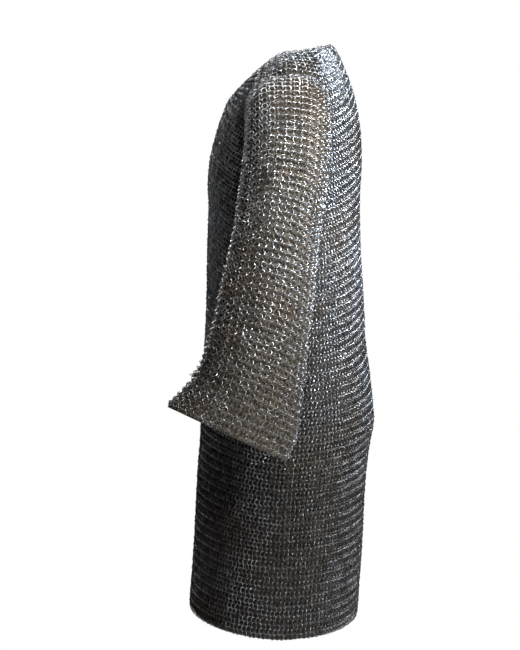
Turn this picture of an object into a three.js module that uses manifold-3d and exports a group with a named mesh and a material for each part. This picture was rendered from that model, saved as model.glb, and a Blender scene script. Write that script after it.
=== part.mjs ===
// Chainmail hauberk: a long coat of steel rings, worn and hollow, open at neck, hem and both cuffs.
// Millimetres, +Z up. The wearer faces -Y and has the left arm at +X.
// The origin is the middle of the neck opening, level with the shoulders that carry the mail.
import * as THREE from "three";
import { mergeVertices } from "three/addons/utils/BufferGeometryUtils.js";
import Module from "manifold-3d";

const wasm = await Module();
wasm.setup();

// Driving dimensions.
const MAIL_DEPTH = 4; // two layers of leaning rings, from the outer face to the inner one
const SEAM_GAP = 0.3; // between neighbouring pieces
const BODY_SIDES = 44; // points round the body
const SLEEVE_SIDES = 28; // points round a sleeve
const CUT_RUN = 14; // how far a hollow runs past the edge that it opens
const SIDE_SEAM_Y = 6; // the side seams, under the arms
const BEYOND = 1200; // further from the origin than any point of the coat
const EDGE_SLOPE = 1.3; // how the height changes round a ring, from its sides to front and back

// Outer face of the body: one closed ring of the coat in each row, from the neck edge to the hem.
const BODY_COLUMNS = ["frontY", "frontZ", "backY", "backZ", "sideX", "sideY", "sideZ", "fullness"];
const BODY_RINGS = table(BODY_COLUMNS, [
  [-82, -70, 82, 20, 75, 5, -3, 2.0],
  [-89, -82, 97, -4, 106, 5, -11, 2.0],
  [-97, -102, 111, -36, 138, 5, -24, 2.1],
  [-106, -129, 122, -68, 160, 5, -39, 2.2],
  [-114, -158, 130, -104, 169, 6, -75, 2.3],
  [-120, -190, 135, -148, 172, 6, -135, 2.35],
  [-122, -222, 135.5, -195, 173, 6, -190, 2.4],
  [-121, -258, 132.5, -250, 175, 6, -250, 2.4],
  [-123.5, -330, 134, -330, 179, 6, -330, 2.4],
  [-125.5, -420, 139.5, -420, 185, 6, -420, 2.35],
  [-129, -490, 143, -490, 190, 6, -490, 2.3],
  [-131, -530, 149, -530, 193, 6, -530, 2.3],
  [-134, -595, 156.5, -595, 198, 6, -595, 2.25],
  [-135, -625, 158, -625, 200, 6, -625, 2.2],
  [-137, -660, 152, -660, 202, 6, -660, 2.2],
  [-140, -698, 146.5, -700, 204, 5, -700, 2.25],
  [-143.5, -752, 142, -755, 206, 3, -756, 2.3],
  [-148, -830, 138, -835, 209, 0, -837, 2.35],
  [-153, -898, 133, -903, 212, -3, -907, 2.4],
  [-157, -939, 130, -950, 214, -5, -957, 2.45],
]);

// Outer face of the left sleeve, from inside the shoulder to the cuff. A ring stands square to the
// arm, which leans out by "abduct" and forward by "forward" degrees. "thinBehind" flattens its back,
// where the mail hangs free of the arm.
const SLEEVE_COLUMNS = [
  "x", "y", "z", "abduct", "forward", "foreHalf", "outHalf", "thinBehind", "fullness",
];
const SLEEVE_RINGS = table(SLEEVE_COLUMNS, [
  [112, 13, -100, 78, 0, 61, 62, 0, 2.4],
  [158, 10, -108, 62, 1, 68, 60, 0, 2.6],
  [191, 10, -137, 43, 2, 69, 56, 0, 2.5],
  [212, 8, -180, 27, 4, 69.5, 52, 0, 2.3],
  [229, 1, -235, 16, 6, 69, 49, 0.02, 2.15],
  [244, -9, -305, 10, 8, 69, 48, 0.05, 2.0],
  [256, -24, -400, 7, 12, 75, 49, 0.1, 2.0],
  [263, -36, -468, 6, 16, 78, 48, 0.18, 2.0],
  [269, -52, -541, 5, 18, 87, 46, 0.26, 2.0],
  [272, -65, -575, 4, 22.5, 96.5, 44, 0.3, 2.0],
  [275, -88, -612, 4, 25, 105.5, 42, 0.34, 2.0],
]);

const RIGHT_ARM_BACK = 2; // the right arm hangs this many degrees further back than the left
const ARM_PIVOT = { y: 10, z: -137 }; // the shoulder joint that the right arm turns about

// The long fold on each sleeve's outer face, where the mail leaves the forearm and hangs.
// Its line runs from one ring and place (-1 back, 1 fore) to another.
const SLEEVE_FOLD = { fromRing: 6, fromPlace: -0.3, toRing: 10, toPlace: 0.1, depth: 6, reach: 0.22 };

// Seen from above, a shoulder strap lies between these two lines, from the neck to the sleeve.
const STRAP = { innerX: 20, outerX: 235, frontInnerY: -28, frontOuterY: -50, backInnerY: 50, backOuterY: 72 };
const STRAP_FOOT_Z = -115; // the straps end above this level, at the armholes
const STRAP_TOP_Z = 60; // above every point of the coat

// Each piece's steel: dark oiled wire, brightest on the back.
const STEELS = {
  body: { color: 0x4a4b50, roughness: 0.42, metalness: 0.85 },
  straps: { color: 0x53555b, roughness: 0.4, metalness: 0.85 },
  sleeves: { color: 0x5b5e66, roughness: 0.38, metalness: 0.85 },
};

// Rows of numbers become records with one named value for each column.
function table(columns, rows) {
  return rows.map((row) => Object.fromEntries(columns.map((name, index) => [name, row[index]])));
}

// Cosine or sine of a rounded box: a fullness of 2 is an ellipse, and more is squarer.
function rounded(value, fullness) {
  return Math.sign(value) * Math.abs(value) ** (2 / fullness);
}

// Points of one body ring, going round from the left side by way of the back.
function bodyRing(ring) {
  const points = [];
  for (let step = 0; step < BODY_SIDES; step += 1) {
    const turn = (2 * Math.PI * step) / BODY_SIDES;
    const across = rounded(Math.cos(turn), ring.fullness);
    const along = rounded(Math.sin(turn), ring.fullness);
    const endY = along > 0 ? ring.backY : ring.frontY;
    const endZ = along > 0 ? ring.backZ : ring.frontZ;
    const y = ring.sideY + (endY - ring.sideY) * Math.abs(along);
    const z = ring.sideZ + (endZ - ring.sideZ) * Math.abs(along) ** EDGE_SLOPE;
    points.push(new THREE.Vector3(ring.sideX * across, y, z));
  }
  return points;
}

// How far the fold draws the sleeve's outer face in, at one place of one ring.
function foldDepth(index, place) {
  const along = (index - SLEEVE_FOLD.fromRing) / (SLEEVE_FOLD.toRing - SLEEVE_FOLD.fromRing);
  if (along <= 0) return 0;
  const middle = SLEEVE_FOLD.fromPlace + along * (SLEEVE_FOLD.toPlace - SLEEVE_FOLD.fromPlace);
  const away = (place - middle) / SLEEVE_FOLD.reach;
  return SLEEVE_FOLD.depth * Math.sqrt(along) * Math.exp(-away * away);
}

// Points of one ring of the left sleeve, going round from the outer face.
function sleeveRing(ring, index) {
  const lean = new THREE.Euler(THREE.MathUtils.degToRad(-ring.forward), 0, 0);
  const spread = new THREE.Euler(0, THREE.MathUtils.degToRad(-ring.abduct), 0);
  const fore = new THREE.Vector3(0, -1, 0).applyEuler(lean).applyEuler(spread);
  const out = new THREE.Vector3(1, 0, 0).applyEuler(spread);
  const points = [];
  for (let step = 0; step < SLEEVE_SIDES; step += 1) {
    const turn = (2 * Math.PI * step) / SLEEVE_SIDES;
    const place = rounded(Math.sin(turn), ring.fullness);
    const outwards = rounded(Math.cos(turn), ring.fullness);
    const fold = outwards > 0 ? foldDepth(index, place) : 0;
    const half = ring.outHalf * (1 + ring.thinBehind * Math.min(place, 0));
    const point = new THREE.Vector3(ring.x, ring.y, ring.z);
    point.addScaledVector(fore, ring.foreHalf * place);
    point.addScaledVector(out, half * outwards - fold);
    points.push(point);
  }
  return points;
}

// The outward direction at one point of a stack of rings.
function outward(rings, level, step) {
  const ring = rings[level];
  const count = ring.length;
  const above = rings[Math.max(level - 1, 0)][step];
  const below = rings[Math.min(level + 1, rings.length - 1)][step];
  const next = ring[(step + 1) % count];
  const previous = ring[(step + count - 1) % count];
  const normal = below.clone().sub(above).cross(next.clone().sub(previous)).normalize();
  const middle = new THREE.Vector3();
  ring.forEach((point) => middle.addScaledVector(point, 1 / count));
  return normal.dot(ring[step].clone().sub(middle)) < 0 ? normal.negate() : normal;
}

// The same stack of rings moved out by a distance, or in where it is negative.
function moved(rings, distance) {
  return rings.map((ring, level) =>
    ring.map((point, step) => point.clone().addScaledVector(outward(rings, level, step), distance)),
  );
}

// One more ring past each end, so that the stack opens both ends of a solid it is cut from.
function runPast(rings) {
  const beyond = (end, before) =>
    end.map((point, step) => {
      const way = point.clone().sub(before[step]).normalize();
      return point.clone().addScaledVector(way, CUT_RUN);
    });
  return [beyond(rings[0], rings[1]), ...rings, beyond(rings.at(-1), rings.at(-2))];
}

// A closed geometry over a stack of rings, with a fan of faces at each end.
function loft(rings) {
  const count = rings[0].length;
  const points = rings.flat();
  const faces = [];
  for (let level = 0; level + 1 < rings.length; level += 1) {
    for (let step = 0; step < count; step += 1) {
      const a = level * count + step;
      const b = level * count + ((step + 1) % count);
      faces.push(a, b, b + count, a, b + count, a + count);
    }
  }
  for (const level of [0, rings.length - 1]) {
    const middle = new THREE.Vector3();
    rings[level].forEach((point) => middle.addScaledVector(point, 1 / count));
    const hub = points.push(middle) - 1;
    for (let step = 0; step < count; step += 1) {
      const a = level * count + step;
      const b = level * count + ((step + 1) % count);
      faces.push(...(level === 0 ? [hub, b, a] : [hub, a, b]));
    }
  }
  const geometry = new THREE.BufferGeometry();
  geometry.setAttribute("position", new THREE.Float32BufferAttribute(points.flatMap((p) => p.toArray()), 3));
  geometry.setIndex(faces);
  return geometry;
}

// Whether a closed shape's faces point inwards: the sum, six times its volume, is then negative.
function facesPointIn(vertices, triangles) {
  const corner = (index) => new THREE.Vector3().fromArray(vertices, 3 * index);
  let sum = 0;
  for (let at = 0; at < triangles.length; at += 3) {
    const [a, b, c] = [0, 1, 2].map((offset) => corner(triangles[at + offset]));
    sum += a.dot(b.cross(c));
  }
  return sum < 0;
}

// A solid for cutting and joining, made from a closed geometry.
function solid(geometry) {
  const bare = geometry.clone();
  bare.deleteAttribute("normal");
  bare.deleteAttribute("uv");
  const merged = mergeVertices(bare, 1e-4);
  const vertProperties = new Float32Array(merged.attributes.position.array);
  const triVerts = new Uint32Array(merged.index.array);
  if (facesPointIn(vertProperties, triVerts)) triVerts.reverse();
  return new wasm.Manifold(new wasm.Mesh({ numProp: 3, vertProperties, triVerts }));
}

// A block between two corners.
function block(low, high) {
  const geometry = new THREE.BoxGeometry(high[0] - low[0], high[1] - low[1], high[2] - low[2]);
  geometry.translate((low[0] + high[0]) / 2, (low[1] + high[1]) / 2, (low[2] + high[2]) / 2);
  return solid(geometry);
}

// The upright prism that holds the left shoulder strap, with its outline moved out by a distance.
function strapPrism(grow) {
  const outline = new THREE.Shape([
    new THREE.Vector2(STRAP.innerX, STRAP.frontInnerY - grow),
    new THREE.Vector2(STRAP.outerX, STRAP.frontOuterY - grow),
    new THREE.Vector2(STRAP.outerX, STRAP.backOuterY + grow),
    new THREE.Vector2(STRAP.innerX, STRAP.backInnerY + grow),
  ]);
  const depth = STRAP_TOP_Z - STRAP_FOOT_Z;
  const geometry = new THREE.ExtrudeGeometry(outline, { depth, bevelEnabled: false });
  geometry.translate(0, 0, STRAP_FOOT_Z);
  return solid(geometry);
}

// The right arm's copy of a solid of the left sleeve.
function rightArm(shape) {
  const { y, z } = ARM_PIVOT;
  return shape.mirror([1, 0, 0]).translate([0, -y, -z]).rotate([RIGHT_ARM_BACK, 0, 0]).translate([0, y, z]);
}

// The named mesh of a finished piece.
function piece(name, shape, steel) {
  const { vertProperties, triVerts } = shape.getMesh();
  const geometry = new THREE.BufferGeometry();
  geometry.setAttribute("position", new THREE.Float32BufferAttribute(vertProperties, 3));
  geometry.setIndex([...triVerts]);
  geometry.computeVertexNormals();
  const mesh = new THREE.Mesh(geometry, new THREE.MeshStandardMaterial(steel));
  mesh.name = name;
  return mesh;
}

// The coat's hollow body and its sleeves, before the body is parted into panels.
const bodyFace = BODY_RINGS.map(bodyRing);
const bodyOuter = solid(loft(bodyFace));
const bodyKeepOut = solid(loft(moved(bodyFace, SEAM_GAP)));
const bodyHollow = solid(loft(runPast(moved(bodyFace, -MAIL_DEPTH))));

const sleeveFace = SLEEVE_RINGS.map(sleeveRing);
const sleeveHollow = solid(loft(runPast(moved(sleeveFace, -MAIL_DEPTH))));
const sleeveTube = solid(loft(sleeveFace)).subtract(sleeveHollow);
const sleeveLeft = sleeveTube.subtract(bodyKeepOut);
const sleeveRight = rightArm(sleeveTube).subtract(bodyKeepOut);

const coat = bodyOuter
  .subtract(bodyHollow)
  .subtract(sleeveHollow)
  .subtract(rightArm(sleeveHollow));

// Front and back part at the side seams, and the straps part them over the shoulders.
const frontHalf = block([-BEYOND, -BEYOND, -BEYOND], [BEYOND, SIDE_SEAM_Y - SEAM_GAP / 2, BEYOND]);
const backHalf = block([-BEYOND, SIDE_SEAM_Y + SEAM_GAP / 2, -BEYOND], [BEYOND, BEYOND, BEYOND]);
const strapRoom = strapPrism(SEAM_GAP);
const panels = coat.subtract(strapRoom).subtract(strapRoom.mirror([1, 0, 0]));
const strapLeft = coat.intersect(strapPrism(0));
const strapRight = coat.intersect(strapPrism(0).mirror([1, 0, 0]));

const hauberk = new THREE.Group();
hauberk.add(
  piece("body_front", panels.intersect(frontHalf), STEELS.body),
  piece("body_back", panels.intersect(backHalf), STEELS.body),
  piece("shoulder_left", strapLeft, STEELS.straps),
  piece("shoulder_right", strapRight, STEELS.straps),
  piece("sleeve_left", sleeveLeft, STEELS.sleeves),
  piece("sleeve_right", sleeveRight, STEELS.sleeves),
);

export default hauberk;
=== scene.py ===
# Looks of the chainmail hauberk: every ring of the mail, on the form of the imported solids.
# Metres, in the frame's own axes: the wearer faces -Y and has the left arm at +X.
import math

import bpy
import numpy as np
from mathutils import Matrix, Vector
from mathutils.bvhtree import BVHTree


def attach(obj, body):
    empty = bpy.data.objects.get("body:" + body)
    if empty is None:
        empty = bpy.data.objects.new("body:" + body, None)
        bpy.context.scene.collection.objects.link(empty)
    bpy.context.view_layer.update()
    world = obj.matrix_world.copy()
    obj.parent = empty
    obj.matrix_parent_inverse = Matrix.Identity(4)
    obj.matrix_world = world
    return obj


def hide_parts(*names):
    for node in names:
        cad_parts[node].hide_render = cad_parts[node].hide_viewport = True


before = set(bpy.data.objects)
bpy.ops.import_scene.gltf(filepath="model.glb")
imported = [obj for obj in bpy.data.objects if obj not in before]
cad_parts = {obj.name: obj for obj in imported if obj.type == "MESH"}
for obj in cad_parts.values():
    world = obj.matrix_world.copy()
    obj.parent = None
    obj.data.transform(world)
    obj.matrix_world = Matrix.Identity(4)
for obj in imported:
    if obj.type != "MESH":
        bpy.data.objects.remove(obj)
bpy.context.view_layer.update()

MM = 0.001
RNG = np.random.default_rng(7)

# Outer face of the body, in millimetres: one closed ring in each row, from the neck to the hem.
# Columns: front Y, front Z, back Y, back Z, side X, side Y, side Z, fullness.
BODY_RINGS = np.array([
    [-82, -70, 82, 20, 75, 5, -3, 2.0],
    [-89, -82, 97, -4, 106, 5, -11, 2.0],
    [-97, -102, 111, -36, 138, 5, -24, 2.1],
    [-106, -129, 122, -68, 160, 5, -39, 2.2],
    [-114, -158, 130, -104, 169, 6, -75, 2.3],
    [-120, -190, 135, -148, 172, 6, -135, 2.35],
    [-122, -222, 135.5, -195, 173, 6, -190, 2.4],
    [-121, -258, 132.5, -250, 175, 6, -250, 2.4],
    [-123.5, -330, 134, -330, 179, 6, -330, 2.4],
    [-125.5, -420, 139.5, -420, 185, 6, -420, 2.35],
    [-129, -490, 143, -490, 190, 6, -490, 2.3],
    [-131, -530, 149, -530, 193, 6, -530, 2.3],
    [-134, -595, 156.5, -595, 198, 6, -595, 2.25],
    [-135, -625, 158, -625, 200, 6, -625, 2.2],
    [-137, -660, 152, -660, 202, 6, -660, 2.2],
    [-140, -698, 146.5, -700, 204, 5, -700, 2.25],
    [-143.5, -752, 142, -755, 206, 3, -756, 2.3],
    [-148, -830, 138, -835, 209, 0, -837, 2.35],
    [-153, -898, 133, -903, 212, -3, -907, 2.4],
    [-157, -939, 130, -950, 214, -5, -957, 2.45],
])
EDGE_SLOPE = 1.3

# Outer face of the left sleeve, in millimetres and degrees, from inside the shoulder to the cuff.
# Columns: x, y, z, abduct, forward, fore half, out half, thin behind, fullness.
SLEEVE_RINGS = np.array([
    [112, 13, -100, 78, 0, 61, 62, 0, 2.4],
    [158, 10, -108, 62, 1, 68, 60, 0, 2.6],
    [191, 10, -137, 43, 2, 69, 56, 0, 2.5],
    [212, 8, -180, 27, 4, 69.5, 52, 0, 2.3],
    [229, 1, -235, 16, 6, 69, 49, 0.02, 2.15],
    [244, -9, -305, 10, 8, 69, 48, 0.05, 2.0],
    [256, -24, -400, 7, 12, 75, 49, 0.1, 2.0],
    [263, -36, -468, 6, 16, 78, 48, 0.18, 2.0],
    [269, -52, -541, 5, 18, 87, 46, 0.26, 2.0],
    [272, -65, -575, 4, 22.5, 96.5, 44, 0.3, 2.0],
    [275, -88, -612, 4, 25, 105.5, 42, 0.34, 2.0],
])
RIGHT_ARM_BACK = math.radians(2)
ARM_PIVOT = Vector((0, 10, -137)) * MM
FOLD_FROM_RING, FOLD_FROM_PLACE = 6, -0.3
FOLD_TO_RING, FOLD_TO_PLACE = 10, 0.1
FOLD_DEPTH, FOLD_REACH = 6, 0.22

# The rings of the mail.
WIRE_RADIUS = 0.86 * MM
WIRE_SIDES, RING_STEPS = 3, 6
RING_RADIUS = 5.0 * MM  # to the middle of the wire
BODY_LEAN = math.radians(46)  # neighbouring rows lean to opposite sides
SLEEVE_LEAN = math.radians(36)
LEAN_SCATTER, NOD_SCATTER = math.radians(6), math.radians(7)
PLACE_SCATTER = 0.3 * MM
SIZE_SCATTER = 0.015
MAIL_MIDDLE = 2.2 * MM  # from the outer face of the solids to the middle of the mail
SHELL_DEPTH = 1.9 * MM  # from the middle of the mail down to the dark web of painted shade
SHELL_THICK = 0.4 * MM
HALF_ROUND = 79  # rings in one row from the middle of the front to the middle of the back
BODY_ROW_PITCH = 7.7 * MM
SLEEVE_ROWS = 62  # rows round a sleeve, each running along the arm
SLEEVE_PITCH = 10.7 * MM
STRAP_ROWS = 16
EDGE_ROOM = 4.6 * MM  # from an edge to the middle of the last rings
SEAM_REACH = 3.0 * MM  # a ring belongs to a solid that is this close
SEAM_Y = 6 * MM  # where the front and back panels part
SHELL_LAP = 9 * MM  # how far the webs of two panels overlap at the seams
BACK_SHELL_DEEPER = 0.7 * MM
ROWS_OVER_NECK = 0.17  # rows at the sides of the neck climb this far above its front
ARMPIT_Z = -0.26  # the webs overlap below this height
ROW_ARMPIT_Z = -0.235  # rows above this keep the pitch of the last full row
ROWS_BEHIND_NECK = 24  # spare rows, because the nape is higher than the front of the neck
PAST_SEAM = 0.22  # how far each panel's grid runs past a quarter turn, in radians
SKIRT_TOP = -0.52
RIM_WIDTH = 3 * MM  # the webs stop this far inside the edges
CELL_REACH = 3.2 * MM  # a cell of a web belongs to a solid that is this close
STRAP_WEB_RAISED = 0.15 * MM
STRAP_ROOM = 2 * MM

# How finely the surfaces are sampled, and the phase of each one's unevenness.
BODY_LEVELS, WEB_LEVELS = 380, 96
PANEL_COLUMNS, HALF_COLUMNS, WEB_STRIDE = 201, 181, 4
SLEEVE_LEVELS, SLEEVE_WEB_LEVELS, SLEEVE_WEB_COLUMNS = 220, 64, 56
BODY_PHASE, SLEEVE_PHASE = 0.6, 2.3

# The straps, on the body's surface: their middle, half width, and last row of the body's table.
STRAP_TURN, STRAP_HALF_TURN, STRAP_LAST_ROW, STRAP_LEVELS = 0.12, 1.0, 5.2, 120


def spline(table, level):
    """Rows of a table at fractional levels, along smooth curves through all its rows."""
    last = len(table) - 1
    level = np.clip(np.asarray(level, float), 0, last)
    start = np.minimum(level.astype(int), last - 1)
    part = (level - start)[..., None]
    before = table[np.maximum(start - 1, 0)]
    here, there = table[start], table[start + 1]
    after = table[np.minimum(start + 2, last)]
    bend = 2 * before - 5 * here + 4 * there - after
    turn = 3 * (here - there) + after - before
    return here + 0.5 * part * (there - before + part * (bend + part * turn))


def rounded(value, fullness):
    """Cosine or sine of a rounded box: a fullness of 2 is an ellipse."""
    return np.sign(value) * np.abs(value) ** (2 / fullness)


def ripple(turn, height, phase):
    """The shallow unevenness of hanging mail, in millimetres."""
    slow = np.sin(3 * turn + 2.1 * np.sin(height / 190 + phase) + phase)
    quick = np.sin(7 * turn - height / 120 + 1.7 * phase)
    return 0.9 * slow + 0.5 * quick * np.sin(height / 260 + phase)


def body_face(level, turn):
    """Points of the body's outer face."""
    row = spline(BODY_RINGS, level)
    front_y, front_z, back_y, back_z, side_x, side_y, side_z, fullness = np.moveaxis(row, -1, 0)
    along = rounded(np.sin(turn), fullness)
    end_y = np.where(along > 0, back_y, front_y)
    end_z = np.where(along > 0, back_z, front_z)
    x = side_x * rounded(np.cos(turn), fullness)
    y = side_y + (end_y - side_y) * np.abs(along)
    z = side_z + (end_z - side_z) * np.abs(along) ** EDGE_SLOPE
    return np.stack([x, y, z], -1) * MM


def sleeve_face(level, turn):
    """Points of the left sleeve's outer face. A quarter turn is its fore side."""
    row = spline(SLEEVE_RINGS, level)
    x, y, z, abduct, forward, fore_half, out_half, thin, fullness = np.moveaxis(row, -1, 0)
    abduct, forward = np.radians(abduct), np.radians(forward)
    fore = np.stack([-np.sin(forward) * np.sin(abduct), -np.cos(forward),
                     np.sin(forward) * np.cos(abduct)], -1)
    out = np.stack([np.cos(abduct), np.zeros_like(abduct), np.sin(abduct)], -1)
    place = rounded(np.sin(turn), fullness)
    outwards = rounded(np.cos(turn), fullness)
    along = np.clip((level - FOLD_FROM_RING) / (FOLD_TO_RING - FOLD_FROM_RING), 0, 1)
    middle = FOLD_FROM_PLACE + along * (FOLD_TO_PLACE - FOLD_FROM_PLACE)
    fold = FOLD_DEPTH * np.sqrt(along) * np.exp(-((place - middle) / FOLD_REACH) ** 2)
    half = out_half * (1 + thin * np.minimum(place, 0)) * outwards - np.where(outwards > 0, fold, 0)
    centre = np.stack([x, y, z], -1)
    return (centre + fore * (fore_half * place)[..., None] + out * half[..., None]) * MM


def normals_of(points, closed):
    """Unit normals of a grid of points, levels first, that point away from its middle."""
    down = np.gradient(points, axis=0)
    if closed:
        round_ = np.roll(points, -1, 1) - np.roll(points, 1, 1)
    else:
        round_ = np.gradient(points, axis=1)
    normal = np.cross(down, round_)
    normal /= np.maximum(np.linalg.norm(normal, axis=-1, keepdims=True), 1e-12)
    middle = points.mean(axis=1, keepdims=True)
    flip = np.sum(normal * (points - middle), axis=-1).sum() < 0
    return -normal if flip else normal


def lengths_along(points):
    """Distance travelled along a line of points, or along each column of a grid."""
    steps = np.linalg.norm(np.diff(points, axis=0), axis=-1)
    return np.concatenate([np.zeros_like(steps[:1]), np.cumsum(steps, axis=0)])


def at(values, lengths, wanted):
    """Values along a line, at the wanted distances from its start."""
    return np.stack([np.interp(wanted, lengths, values[:, k]) for k in range(values.shape[1])], -1)


def unit(vectors):
    return vectors / np.maximum(np.linalg.norm(vectors, axis=-1, keepdims=True), 1e-12)


class Surface:
    """A garment tube, sampled as a grid of levels down it and places round it."""

    def __init__(self, face, levels, turns, phase):
        self.turns = turns
        level, turn = np.meshgrid(levels, turns, indexing="ij")
        outer = face(level, turn)
        normal = normals_of(outer, closed=False)
        outer = outer + normal * (ripple(turn, outer[..., 2] / MM, phase) * MM)[..., None]
        self.middle = outer - normal * MAIL_MIDDLE
        self.normal = normal
        self.from_top = lengths_along(self.middle)
        self.from_end = self.from_top[-1] - self.from_top

    def line(self, distances):
        """Points and normals where each column is at its own distance from the lower end."""
        points, normals, room = [], [], []
        for column, distance in enumerate(distances):
            lengths = self.from_end[::-1, column]
            points.append(at(self.middle[::-1, column], lengths, [distance])[0])
            normals.append(at(self.normal[::-1, column], lengths, [distance])[0])
            room.append(lengths[-1] - distance)
        return np.array(points), unit(np.array(normals)), np.array(room)


class Rings:
    """Rings waiting to be made: where each stands, the way its row runs, and how it leans."""

    def __init__(self):
        self.centres, self.ways, self.normals, self.leans = [], [], [], []

    def add(self, centres, ways, normals, lean):
        self.centres.append(centres)
        self.ways.append(ways)
        self.normals.append(normals)
        self.leans.append(np.full(len(centres), lean))

    def arrays(self):
        return [np.concatenate(v) for v in (self.centres, self.ways, self.normals, self.leans)]


def place_row(rings, points, normals, wanted, lean, keep=None):
    """Puts rings at the wanted distances along one row, and drops those that keep rules out."""
    lengths = lengths_along(points)
    wanted = wanted[(wanted >= 0) & (wanted <= lengths[-1])]
    if keep is not None and len(wanted):
        wanted = wanted[np.interp(wanted, lengths, keep.astype(float)) > 0.5]
    if not len(wanted):
        return
    ways = unit(np.gradient(points, axis=0))
    rings.add(at(points, lengths, wanted), unit(at(ways, lengths, wanted)),
              unit(at(normals, lengths, wanted)), lean)


# ---------------------------------------------------------------- the rows of the mail

def droop(height, turn):
    """How far a row sags from the middle of the front or back to the arm, in metres."""
    sag = np.interp(height, np.array([-0.80, -0.51, -0.39, -0.17, -0.09]),
                    np.array([0, 0.030, 0.041, 0.050, 0.056]))
    return sag * np.abs(np.cos(turn)) ** 1.4


def waver(length, turn):
    """How the rows bunch and spread, in metres."""
    slow = np.sin(length / (19 * MM) + 2.3 * np.sin(2 * turn + 0.7))
    quick = np.sin(length / (8.5 * MM) + 3 * turn + 1.9 * np.sin(5 * turn))
    return (0.8 * slow + 0.35 * quick) * MM


def row_points(surface, row, centre_column):
    """One level row: its points, normals, room above, and the place of the panel's middle."""
    length = EDGE_ROOM + row * BODY_ROW_PITCH
    heights = surface.middle[:, centre_column, 2]
    height = np.interp(length, surface.from_end[::-1, centre_column], heights[::-1])
    settled = min(1, row / 4)
    distances = length - droop(height, surface.turns) + settled * waver(length, surface.turns)
    points, normals, room = surface.line(distances)
    return points, normals, room, lengths_along(points)[centre_column]


def row_count(surface, centre_column):
    return int((surface.from_end[0, centre_column] + ROWS_OVER_NECK) / BODY_ROW_PITCH)


def row_pitches(half):
    """The pitch along each row, so that a row has a whole number of rings all round."""
    armpit = np.interp(-ROW_ARMPIT_Z, -half.middle[:, 0, 2], half.from_end[:, 0])
    pitches = []
    for row in range(row_count(half, 0) + ROWS_BEHIND_NECK):
        if EDGE_ROOM + row * BODY_ROW_PITCH < armpit:
            points = row_points(half, row, 0)[0]
            pitches.append(lengths_along(points)[-1] / HALF_ROUND)
        else:
            pitches.append(pitches[-1])
    return pitches


def body_panel(surface, centre_column, pitches):
    """Rows of one half of the body, front or back, from the hem up."""
    rings = Rings()
    for row in range(row_count(surface, centre_column)):
        points, normals, room, anchor = row_points(surface, row, centre_column)
        total = lengths_along(points)[-1]
        count = int(total / pitches[row]) + 2
        wanted = anchor + (np.arange(-count, count) + 0.5 * (row % 2)) * pitches[row]
        lean = BODY_LEAN if row % 2 else -BODY_LEAN
        place_row(rings, points, normals, wanted, lean, room > EDGE_ROOM + 0.8 * RING_RADIUS)
    return rings


def along_rows(surface, rows, pitch, from_end):
    """Rows that run down a tube or patch, one for each column of its grid."""
    rings = Rings()
    mean = np.mean(surface.from_top[-1])
    count = int((mean - from_end) / pitch)
    for column in range(rows):
        points = surface.middle[::-1, column]
        normals = surface.normal[::-1, column]
        total = lengths_along(points)[-1]
        step = (total - from_end) / count
        wanted = from_end + (np.arange(count) + 0.5 * (column % 2)) * step
        lean = SLEEVE_LEAN if column % 2 else -SLEEVE_LEAN
        place_row(rings, points, normals, wanted, lean)
    return rings


def even_turns(face, levels, rows, start, stop):
    """Turns, for each level, that part a stretch of the way round into rows of even width."""
    fine = np.linspace(start, stop, 721)
    result = []
    for level in levels:
        lengths = lengths_along(face(np.full_like(fine, level), fine))
        result.append(np.interp(np.linspace(0, lengths[-1], rows), lengths, fine))
    return np.array(result)


class RowSurface(Surface):
    """A surface whose columns are even rows: used where the rows run along the arm."""

    def __init__(self, face, levels, rows, start, stop, phase, closed):
        count = rows + 1 if closed else rows
        turn = even_turns(face, levels, count, start, stop)[:, :rows]
        level = np.repeat(levels[:, None], rows, 1)
        outer = face(level, turn)
        normal = normals_of(outer, closed=closed)
        outer = outer + normal * (ripple(turn, outer[..., 2] / MM, phase) * MM)[..., None]
        self.turns = turn
        self.middle = outer - normal * MAIL_MIDDLE
        self.normal = normal
        self.from_top = lengths_along(self.middle)
        self.from_end = self.from_top[-1] - self.from_top


def tree(node):
    """A search tree of one solid's surface."""
    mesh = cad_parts[node].data
    corners = [v.co[:] for v in mesh.vertices]
    return BVHTree.FromPolygons(corners, [p.vertices[:] for p in mesh.polygons])


TREES = {name: tree(name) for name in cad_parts}


def near(points, node, reach):
    """Which points lie within reach of a solid."""
    found = [TREES[node].find_nearest(p, reach)[0] is not None for p in points.tolist()]
    return np.array(found, bool)


# ---------------------------------------------------------------- meshes

def new_object(name, points, faces, material):
    mesh = bpy.data.meshes.new(name)
    mesh.from_pydata(points, [], faces)
    mesh.polygons.foreach_set("use_smooth", np.ones(len(mesh.polygons), bool))
    mesh.materials.append(material)
    obj = bpy.data.objects.new(name, mesh)
    bpy.context.scene.collection.objects.link(obj)
    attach(obj, "root")
    return obj


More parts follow.
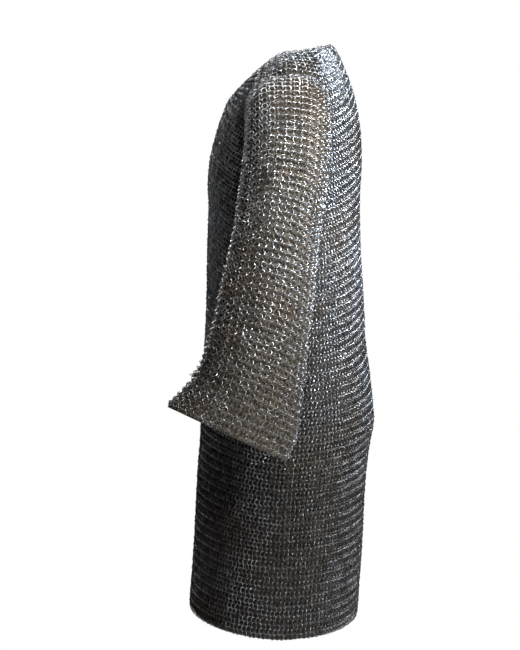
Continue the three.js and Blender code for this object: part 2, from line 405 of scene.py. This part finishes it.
def ring_mesh(name, arrays, material):
    """One joined mesh of wire rings."""
    centres, ways, normals, leans = arrays
    count = len(centres)
    across = unit(np.cross(normals, ways))
    ways = unit(np.cross(across, normals))
    leans = leans + RNG.normal(0, LEAN_SCATTER, count)
    nod = RNG.normal(0, NOD_SCATTER, count)
    axis = unit(normals + ways * np.tan(leans)[:, None] + across * np.tan(nod)[:, None])
    first = unit(across - axis * np.sum(across * axis, -1, keepdims=True))
    second = np.cross(axis, first)
    centres = centres + RNG.normal(0, PLACE_SCATTER, (count, 3))
    radius = RING_RADIUS * (1 + RNG.normal(0, SIZE_SCATTER, count))[:, None, None]
    start = RNG.uniform(0, 2 * np.pi / RING_STEPS, count)[:, None, None]
    round_angle = start + (2 * np.pi / RING_STEPS * np.arange(RING_STEPS))[None, :, None]
    wire_angle = 2 * np.pi / WIRE_SIDES * (np.arange(WIRE_SIDES) + 0.5)
    radial = np.cos(round_angle) * first[:, None] + np.sin(round_angle) * second[:, None]
    spine = centres[:, None] + radius * radial
    wire = (spine[:, :, None] + WIRE_RADIUS *
            (np.cos(wire_angle)[None, None, :, None] * radial[:, :, None] +
             np.sin(wire_angle)[None, None, :, None] * axis[:, None, None]))
    points = wire.reshape(-1, 3)
    each = RING_STEPS * WIRE_SIDES
    step, side = np.meshgrid(np.arange(RING_STEPS), np.arange(WIRE_SIDES), indexing="ij")
    next_step, next_side = (step + 1) % RING_STEPS, (side + 1) % WIRE_SIDES
    quad = np.stack([step * WIRE_SIDES + side, next_step * WIRE_SIDES + side,
                     next_step * WIRE_SIDES + next_side, step * WIRE_SIDES + next_side], -1)
    faces = (quad.reshape(-1, 4)[None] + (np.arange(count) * each)[:, None, None]).reshape(-1, 4)

    mesh = bpy.data.meshes.new(name)
    mesh.vertices.add(len(points))
    mesh.vertices.foreach_set("co", points.astype(np.float32).ravel())
    mesh.loops.add(faces.size)
    mesh.loops.foreach_set("vertex_index", faces.astype(np.int32).ravel())
    mesh.polygons.add(len(faces))
    mesh.polygons.foreach_set("loop_start", np.arange(0, faces.size, 4, dtype=np.int32))
    mesh.polygons.foreach_set("use_smooth", np.ones(len(faces), bool))
    tone = mesh.attributes.new("ring_tone", "FLOAT", "POINT")
    tone.data.foreach_set("value", np.repeat(RNG.random(count), each).astype(np.float32))
    mesh.update(calc_edges=True)
    mesh.validate()
    mesh.materials.append(material)
    obj = bpy.data.objects.new(name, mesh)
    bpy.context.scene.collection.objects.link(obj)
    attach(obj, "root")
    return obj


def chosen(arrays, keep):
    return [a[keep] for a in arrays]


def shell_from_grid(name, middle, normal, keep, closed, material):
    """A thin closed wall under the rings, over the kept cells of a grid: the dark sheet of painted
    shade.
    """
    rows, columns = middle.shape[:2]
    outer = (middle - normal * SHELL_DEPTH).reshape(-1, 3)
    inner = (middle - normal * (SHELL_DEPTH + SHELL_THICK)).reshape(-1, 3)
    faces, edges = [], {}
    wrap = columns if closed else columns - 1
    for r in range(rows - 1):
        for c in range(wrap):
            if not keep[r, c]:
                continue
            n = (c + 1) % columns
            face = (r * columns + c, (r + 1) * columns + c, (r + 1) * columns + n, r * columns + n)
            faces.append(face)
            for k in range(4):
                edges[(face[k], face[(k + 1) % 4])] = True
    used = sorted({v for f in faces for v in f})
    new = {v: i for i, v in enumerate(used)}
    shift = len(used)
    points = np.concatenate([outer[used], inner[used]])
    top = [tuple(new[v] for v in f) for f in faces]
    low = [tuple(shift + new[v] for v in reversed(f)) for f in faces]
    rim = [(new[b], new[a], shift + new[a], shift + new[b])
           for a, b in edges if (b, a) not in edges]
    return new_object(name, points.tolist(), top + low + rim, material)


def cell_middles(middle, closed):
    across = np.roll(middle, -1, 1) if closed else middle[:, 1:]
    here = middle if closed else middle[:, :-1]
    return (here[:-1] + here[1:] + across[:-1] + across[1:]) / 4


# ---------------------------------------------------------------- materials

def nodes_of(name):
    material = bpy.data.materials.new(name)
    material.use_nodes = True
    tree_ = material.node_tree
    return material, tree_.nodes, tree_.links, tree_.nodes["Principled BSDF"]


def ramp(nodes, stops):
    node = nodes.new("ShaderNodeValToRGB")
    elements = node.color_ramp.elements
    while len(elements) < len(stops):
        elements.new(0.5)
    for element, (place, colour) in zip(elements, stops):
        element.position = place
        element.color = (*colour, 1)
    return node


# Painted shade: below the chest the steel's colour is multiplied down towards a darker, browner
# tint, for the weaker light on the skirt.
SKIRT_SHADE_FROM_Z, SKIRT_SHADE_TO_Z = -0.34, -0.72
SKIRT_SHADE_TINT = (0.36, 0.34, 0.33, 1)  # painted shade: the skirt is made darker and browner than the chest, for the light that falls off towards the hem


def steel(name, dark, light, rough):
    """Oiled steel wire: each ring has its own tone, browner in some patches, with fine scratches,
    and painted shade that makes it darker and browner lower down.
    """
    material, nodes, links, shader = nodes_of(name)
    place = nodes.new("ShaderNodeTexCoord")
    tone = nodes.new("ShaderNodeAttribute")
    tone.attribute_name = "ring_tone"
    tones = ramp(nodes, [(0.0, dark), (0.7, light), (1.0, tuple(min(1, 1.35 * v) for v in light))])
    links.new(tone.outputs["Fac"], tones.inputs["Fac"])
    patches = nodes.new("ShaderNodeTexNoise")
    patches.inputs["Scale"].default_value = 9
    patches.inputs["Detail"].default_value = 3
    links.new(place.outputs["Object"], patches.inputs["Vector"])
    spread = ramp(nodes, [(0.42, (0, 0, 0)), (0.68, (1, 1, 1))])
    links.new(patches.outputs["Fac"], spread.inputs["Fac"])
    brown = nodes.new("ShaderNodeMix")
    brown.data_type = "RGBA"
    brown.blend_type = "MULTIPLY"
    brown.inputs["B"].default_value = (0.86, 0.76, 0.68, 1)
    links.new(spread.outputs["Color"], brown.inputs["Factor"])
    links.new(tones.outputs["Color"], brown.inputs["A"])
    axes = nodes.new("ShaderNodeSeparateXYZ")
    links.new(place.outputs["Object"], axes.inputs["Vector"])
    # painted shade: the colour turns darker and browner by height, from the waist down to the skirt
    depth = nodes.new("ShaderNodeMapRange")
    depth.inputs["From Min"].default_value = SKIRT_SHADE_FROM_Z
    depth.inputs["From Max"].default_value = SKIRT_SHADE_TO_Z
    links.new(axes.outputs["Z"], depth.inputs["Value"])
    skirt_shade = nodes.new("ShaderNodeMix")
    skirt_shade.data_type = "RGBA"
    skirt_shade.blend_type = "MULTIPLY"
    skirt_shade.inputs["B"].default_value = SKIRT_SHADE_TINT
    links.new(depth.outputs["Result"], skirt_shade.inputs["Factor"])
    links.new(brown.outputs["Result"], skirt_shade.inputs["A"])
    links.new(skirt_shade.outputs["Result"], shader.inputs["Base Color"])
    scratches = nodes.new("ShaderNodeTexNoise")
    scratches.inputs["Scale"].default_value = 700
    scratches.inputs["Detail"].default_value = 2
    links.new(place.outputs["Object"], scratches.inputs["Vector"])
    roughness = nodes.new("ShaderNodeMapRange")
    roughness.inputs["To Min"].default_value = rough - 0.1
    roughness.inputs["To Max"].default_value = rough + 0.14
    links.new(scratches.outputs["Fac"], roughness.inputs["Value"])
    links.new(roughness.outputs["Result"], shader.inputs["Roughness"])
    bump = nodes.new("ShaderNodeBump")
    bump.inputs["Strength"].default_value = 0.25
    bump.inputs["Distance"].default_value = 0.0003
    links.new(scratches.outputs["Fac"], bump.inputs["Height"])
    links.new(bump.outputs["Normal"], shader.inputs["Normal"])
    shader.inputs["Metallic"].default_value = 1.0
    return material


def web(name, dark, light):
    """Painted shade: a dark sheet for the shaded depth of the mail, where the lower rings and the
    hollow behind them show.
    """
    material, nodes, links, shader = nodes_of(name)
    place = nodes.new("ShaderNodeTexCoord")
    cells = nodes.new("ShaderNodeTexVoronoi")
    cells.inputs["Scale"].default_value = 190
    links.new(place.outputs["Object"], cells.inputs["Vector"])
    tones = ramp(nodes, [(0.1, dark), (0.75, light)])
    links.new(cells.outputs["Distance"], tones.inputs["Fac"])
    links.new(tones.outputs["Color"], shader.inputs["Base Color"])
    bump = nodes.new("ShaderNodeBump")
    bump.inputs["Strength"].default_value = 0.6
    bump.inputs["Distance"].default_value = 0.001
    links.new(cells.outputs["Distance"], bump.inputs["Height"])
    links.new(bump.outputs["Normal"], shader.inputs["Normal"])
    shader.inputs["Roughness"].default_value = 0.62
    shader.inputs["Metallic"].default_value = 0.35
    return material


BODY_STEEL = steel("body_steel", (0.22, 0.225, 0.24), (0.6, 0.63, 0.68), 0.28)
SLEEVE_STEEL = steel("sleeve_steel", (0.28, 0.285, 0.3), (0.72, 0.74, 0.78), 0.28)
# Painted shade: the webs are near-black browns, for the shaded hollow seen through the rings.
BODY_SHADE_WEB = web("body_shade_web", (0.008, 0.006, 0.004), (0.06, 0.043, 0.028))
SLEEVE_SHADE_WEB = web("sleeve_shade_web", (0.012, 0.009, 0.006), (0.15, 0.112, 0.075))


# ---------------------------------------------------------------- the hauberk

def build_body():
    """The front and back panels: rings in level rows, over a dark web of painted shade each."""
    last = len(BODY_RINGS) - 1
    levels = np.linspace(0, last, BODY_LEVELS)
    half_turns = np.linspace(-math.pi / 2, math.pi / 2, HALF_COLUMNS)
    pitches = row_pitches(Surface(body_face, levels, half_turns, BODY_PHASE))
    pieces = {}
    for side, centre in (("front", -math.pi / 2), ("back", math.pi / 2)):
        reach = math.pi / 2 + PAST_SEAM
        turns = np.linspace(centre - reach, centre + reach, PANEL_COLUMNS)
        surface = Surface(body_face, levels, turns, BODY_PHASE)
        arrays = body_panel(surface, PANEL_COLUMNS // 2, pitches).arrays()
        arrays = chosen(arrays, on_side(arrays[0], side))
        arrays = chosen(arrays, near(arrays[0], f"body_{side}", SEAM_REACH))
        parts = {"chest" if side == "front" else "upper": arrays[0][:, 2] > SKIRT_TOP}
        parts["skirt"] = ~next(iter(parts.values()))
        rings = [ring_mesh(f"rings_{side}_{part}", chosen(arrays, keep), BODY_STEEL)
                 for part, keep in parts.items()]
        web_levels = np.linspace(0, last, WEB_LEVELS)
        shell = body_shell(Surface(body_face, web_levels, turns[::WEB_STRIDE], BODY_PHASE), side)
        pieces[side] = (shell, rings)
    return pieces


def body_shell(coarse, side):
    """The painted-shade web of one panel. The webs overlap at the side seams, the back's inside the
    front's.
    """
    node = f"body_{side}"
    rim = np.minimum(coarse.from_end, coarse.from_top)[:-1, :-1] > RIM_WIDTH
    cells = cell_middles(coarse.middle, False)
    places = cells.reshape(-1, 3)
    lap = (np.abs(places[:, 1] - SEAM_Y) < SHELL_LAP) & (places[:, 2] < ARMPIT_Z)
    own = near(places, node, CELL_REACH) & on_side(places, side)
    keep = (own | lap).reshape(cells.shape[:2]) & rim
    middle = coarse.middle - coarse.normal * (BACK_SHELL_DEEPER if side == "back" else 0)
    shell = shell_from_grid(f"shade_web_body_{side}", middle, coarse.normal, keep, False, BODY_SHADE_WEB)
    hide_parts(node)
    return shell


def on_side(points, side):
    """Which points are on a panel's side of the seams."""
    return points[:, 1] < SEAM_Y if side == "front" else points[:, 1] >= SEAM_Y


def right_of(arrays):
    """The right arm's copy of rings or points of the left one."""
    cos, sin = math.cos(RIGHT_ARM_BACK), math.sin(RIGHT_ARM_BACK)
    swing = np.array([[1, 0, 0], [0, cos, sin], [0, -sin, cos]])
    pivot = np.array(ARM_PIVOT)
    mirror = np.array([-1, 1, 1])
    centres = (arrays[0] * mirror - pivot) @ swing + pivot
    vectors = [(a * mirror) @ swing for a in arrays[1:3]]
    return [centres, *vectors, *[-a for a in arrays[3:]]]


def build_sleeves():
    """The sleeves: rows of rings that run along the arm, over a dark web of painted shade each."""
    last = len(SLEEVE_RINGS) - 1
    full = 2 * math.pi
    surface = RowSurface(sleeve_face, np.linspace(0, last, SLEEVE_LEVELS), SLEEVE_ROWS,
                         0, full, SLEEVE_PHASE, True)
    arrays = along_rows(surface, SLEEVE_ROWS, SLEEVE_PITCH, EDGE_ROOM).arrays()
    coarse = RowSurface(sleeve_face, np.linspace(0, last, SLEEVE_WEB_LEVELS), SLEEVE_WEB_COLUMNS,
                        0, full, SLEEVE_PHASE, True)
    pieces = {}
    for side in ("left", "right"):
        node = f"sleeve_{side}"
        here = arrays if side == "left" else right_of(arrays)
        here = chosen(here, near(here[0], node, SEAM_REACH))
        rings = ring_mesh(f"rings_sleeve_{side}", here, SLEEVE_STEEL)
        middle, normal = coarse.middle, coarse.normal
        if side == "right":
            flat = [middle.reshape(-1, 3), normal.reshape(-1, 3)]
            middle, normal = (a.reshape(coarse.middle.shape)[:, ::-1] for a in right_of(flat))
        rim = coarse.from_end[:-1] > RIM_WIDTH
        cells = cell_middles(middle, True)
        keep = near(cells.reshape(-1, 3), node, CELL_REACH).reshape(cells.shape[:2]) & rim
        shell = shell_from_grid(f"shade_web_sleeve_{side}", middle, normal, keep, True, SLEEVE_SHADE_WEB)
        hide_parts(node)
        pieces[side] = (shell, [rings])
    return pieces


def build_shoulders():
    """The straps over the shoulders, whose rows run from the neck to the sleeve."""
    levels = np.linspace(0, STRAP_LAST_ROW, STRAP_LEVELS)
    pieces = {}
    for side, centre in (("left", STRAP_TURN), ("right", math.pi - STRAP_TURN)):
        surface = RowSurface(body_face, levels, 2 * STRAP_ROWS, centre - STRAP_HALF_TURN,
                             centre + STRAP_HALF_TURN, BODY_PHASE, False)
        arrays = along_rows(surface, 2 * STRAP_ROWS, SLEEVE_PITCH, STRAP_ROOM).arrays()
        node = f"shoulder_{side}"
        arrays = chosen(arrays, near(arrays[0], node, SEAM_REACH))
        rings = ring_mesh(f"rings_shoulder_{side}", arrays, SLEEVE_STEEL)
        rim = surface.from_top[:-1, :-1] > RIM_WIDTH
        cells = cell_middles(surface.middle, False)
        keep = near(cells.reshape(-1, 3), node, CELL_REACH).reshape(cells.shape[:2]) & rim
        raised = (surface.middle + surface.normal * STRAP_WEB_RAISED)[::2]
        shell = shell_from_grid(f"shade_web_shoulder_{side}", raised, surface.normal[::2],
                                keep[::2][:len(raised) - 1], False, BODY_SHADE_WEB)
        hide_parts(node)
        pieces[side] = (shell, [rings])
    return pieces


body = build_body()
sleeves = build_sleeves()
shoulders = build_shoulders()


# ---------------------------------------------------------------- stage, lights and camera

def pale(name, colour):
    material, _, _, shader = nodes_of(name)
    shader.inputs["Base Color"].default_value = (*colour, 1)
    shader.inputs["Roughness"].default_value = 0.9
    return material


FLOOR_Z, FLOOR_RADIUS = -1.45, 1.45


def build_stage():
    """A round pale floor under the feet of whoever wears the hauberk."""
    mesh = bpy.data.meshes.new("floor")
    turns = np.linspace(0, 2 * math.pi, 96, endpoint=False)
    rim = [(FLOOR_RADIUS * math.cos(t), FLOOR_RADIUS * math.sin(t), FLOOR_Z) for t in turns]
    mesh.from_pydata(rim, [], [tuple(range(len(rim)))])
    mesh.materials.append(pale("pale_floor", (0.93, 0.93, 0.93)))
    floor = bpy.data.objects.new("floor", mesh)
    bpy.context.scene.collection.objects.link(floor)


def area_light(name, place, target, size, watts, colour=(1, 1, 1)):
    lamp = bpy.data.lights.new(name, "AREA")
    lamp.shape = "DISK"
    lamp.size = size
    lamp.energy = watts
    lamp.color = colour
    obj = bpy.data.objects.new(name, lamp)
    obj.location = place
    obj.rotation_euler = (Vector(target) - Vector(place)).to_track_quat("-Z", "Y").to_euler()
    bpy.context.scene.collection.objects.link(obj)


def build_world(seen, glow):
    """A white backdrop that lights the mail only a little."""
    world = bpy.data.worlds.new("studio")
    world.use_nodes = True
    nodes, links = world.node_tree.nodes, world.node_tree.links
    backdrop = nodes["Background"]
    backdrop.inputs["Color"].default_value = (1, 1, 1, 1)
    backdrop.inputs["Strength"].default_value = seen
    dim = nodes.new("ShaderNodeBackground")
    dim.inputs["Color"].default_value = (0.93, 0.95, 1, 1)
    dim.inputs["Strength"].default_value = glow
    rays = nodes.new("ShaderNodeLightPath")
    either = nodes.new("ShaderNodeMixShader")
    links.new(rays.outputs["Is Camera Ray"], either.inputs["Fac"])
    links.new(dim.outputs["Background"], either.inputs[1])
    links.new(backdrop.outputs["Background"], either.inputs[2])
    links.new(either.outputs["Shader"], nodes["World Output"].inputs["Surface"])
    bpy.context.scene.world = world


def build_lights():
    area_light("key", (1.15, 1.35, 0.75), (0.12, 0.1, -0.2), 0.7, 105, (0.88, 0.95, 1))
    area_light("fill", (2.4, 0.5, 1.5), (0.2, 0.0, -0.2), 0.8, 17, (1, 0.96, 0.91))
    area_light("far_side", (-2.4, -0.9, 1.2), (0, 0, -0.4), 1.6, 60)
    build_world(1.0, 0.04)
    bpy.context.scene.view_settings.view_transform = "Standard"


CAMERA_PLACE = (3.0376, -0.0307, -0.2506)
CAMERA_TILT, CAMERA_PAN = math.radians(3.97), math.radians(-0.095)
CAMERA_LENS = 98.3


def build_camera():
    data = bpy.data.cameras.new("camera")
    data.lens = CAMERA_LENS
    camera = bpy.data.objects.new("camera", data)
    camera.location = CAMERA_PLACE
    level = math.cos(CAMERA_TILT)
    aim = Vector((-level * math.cos(CAMERA_PAN), level * math.sin(CAMERA_PAN),
                  -math.sin(CAMERA_TILT)))
    camera.rotation_euler = aim.to_track_quat("-Z", "Y").to_euler()
    bpy.context.scene.collection.objects.link(camera)
    bpy.context.scene.camera = camera


build_stage()
build_lights()
build_camera()
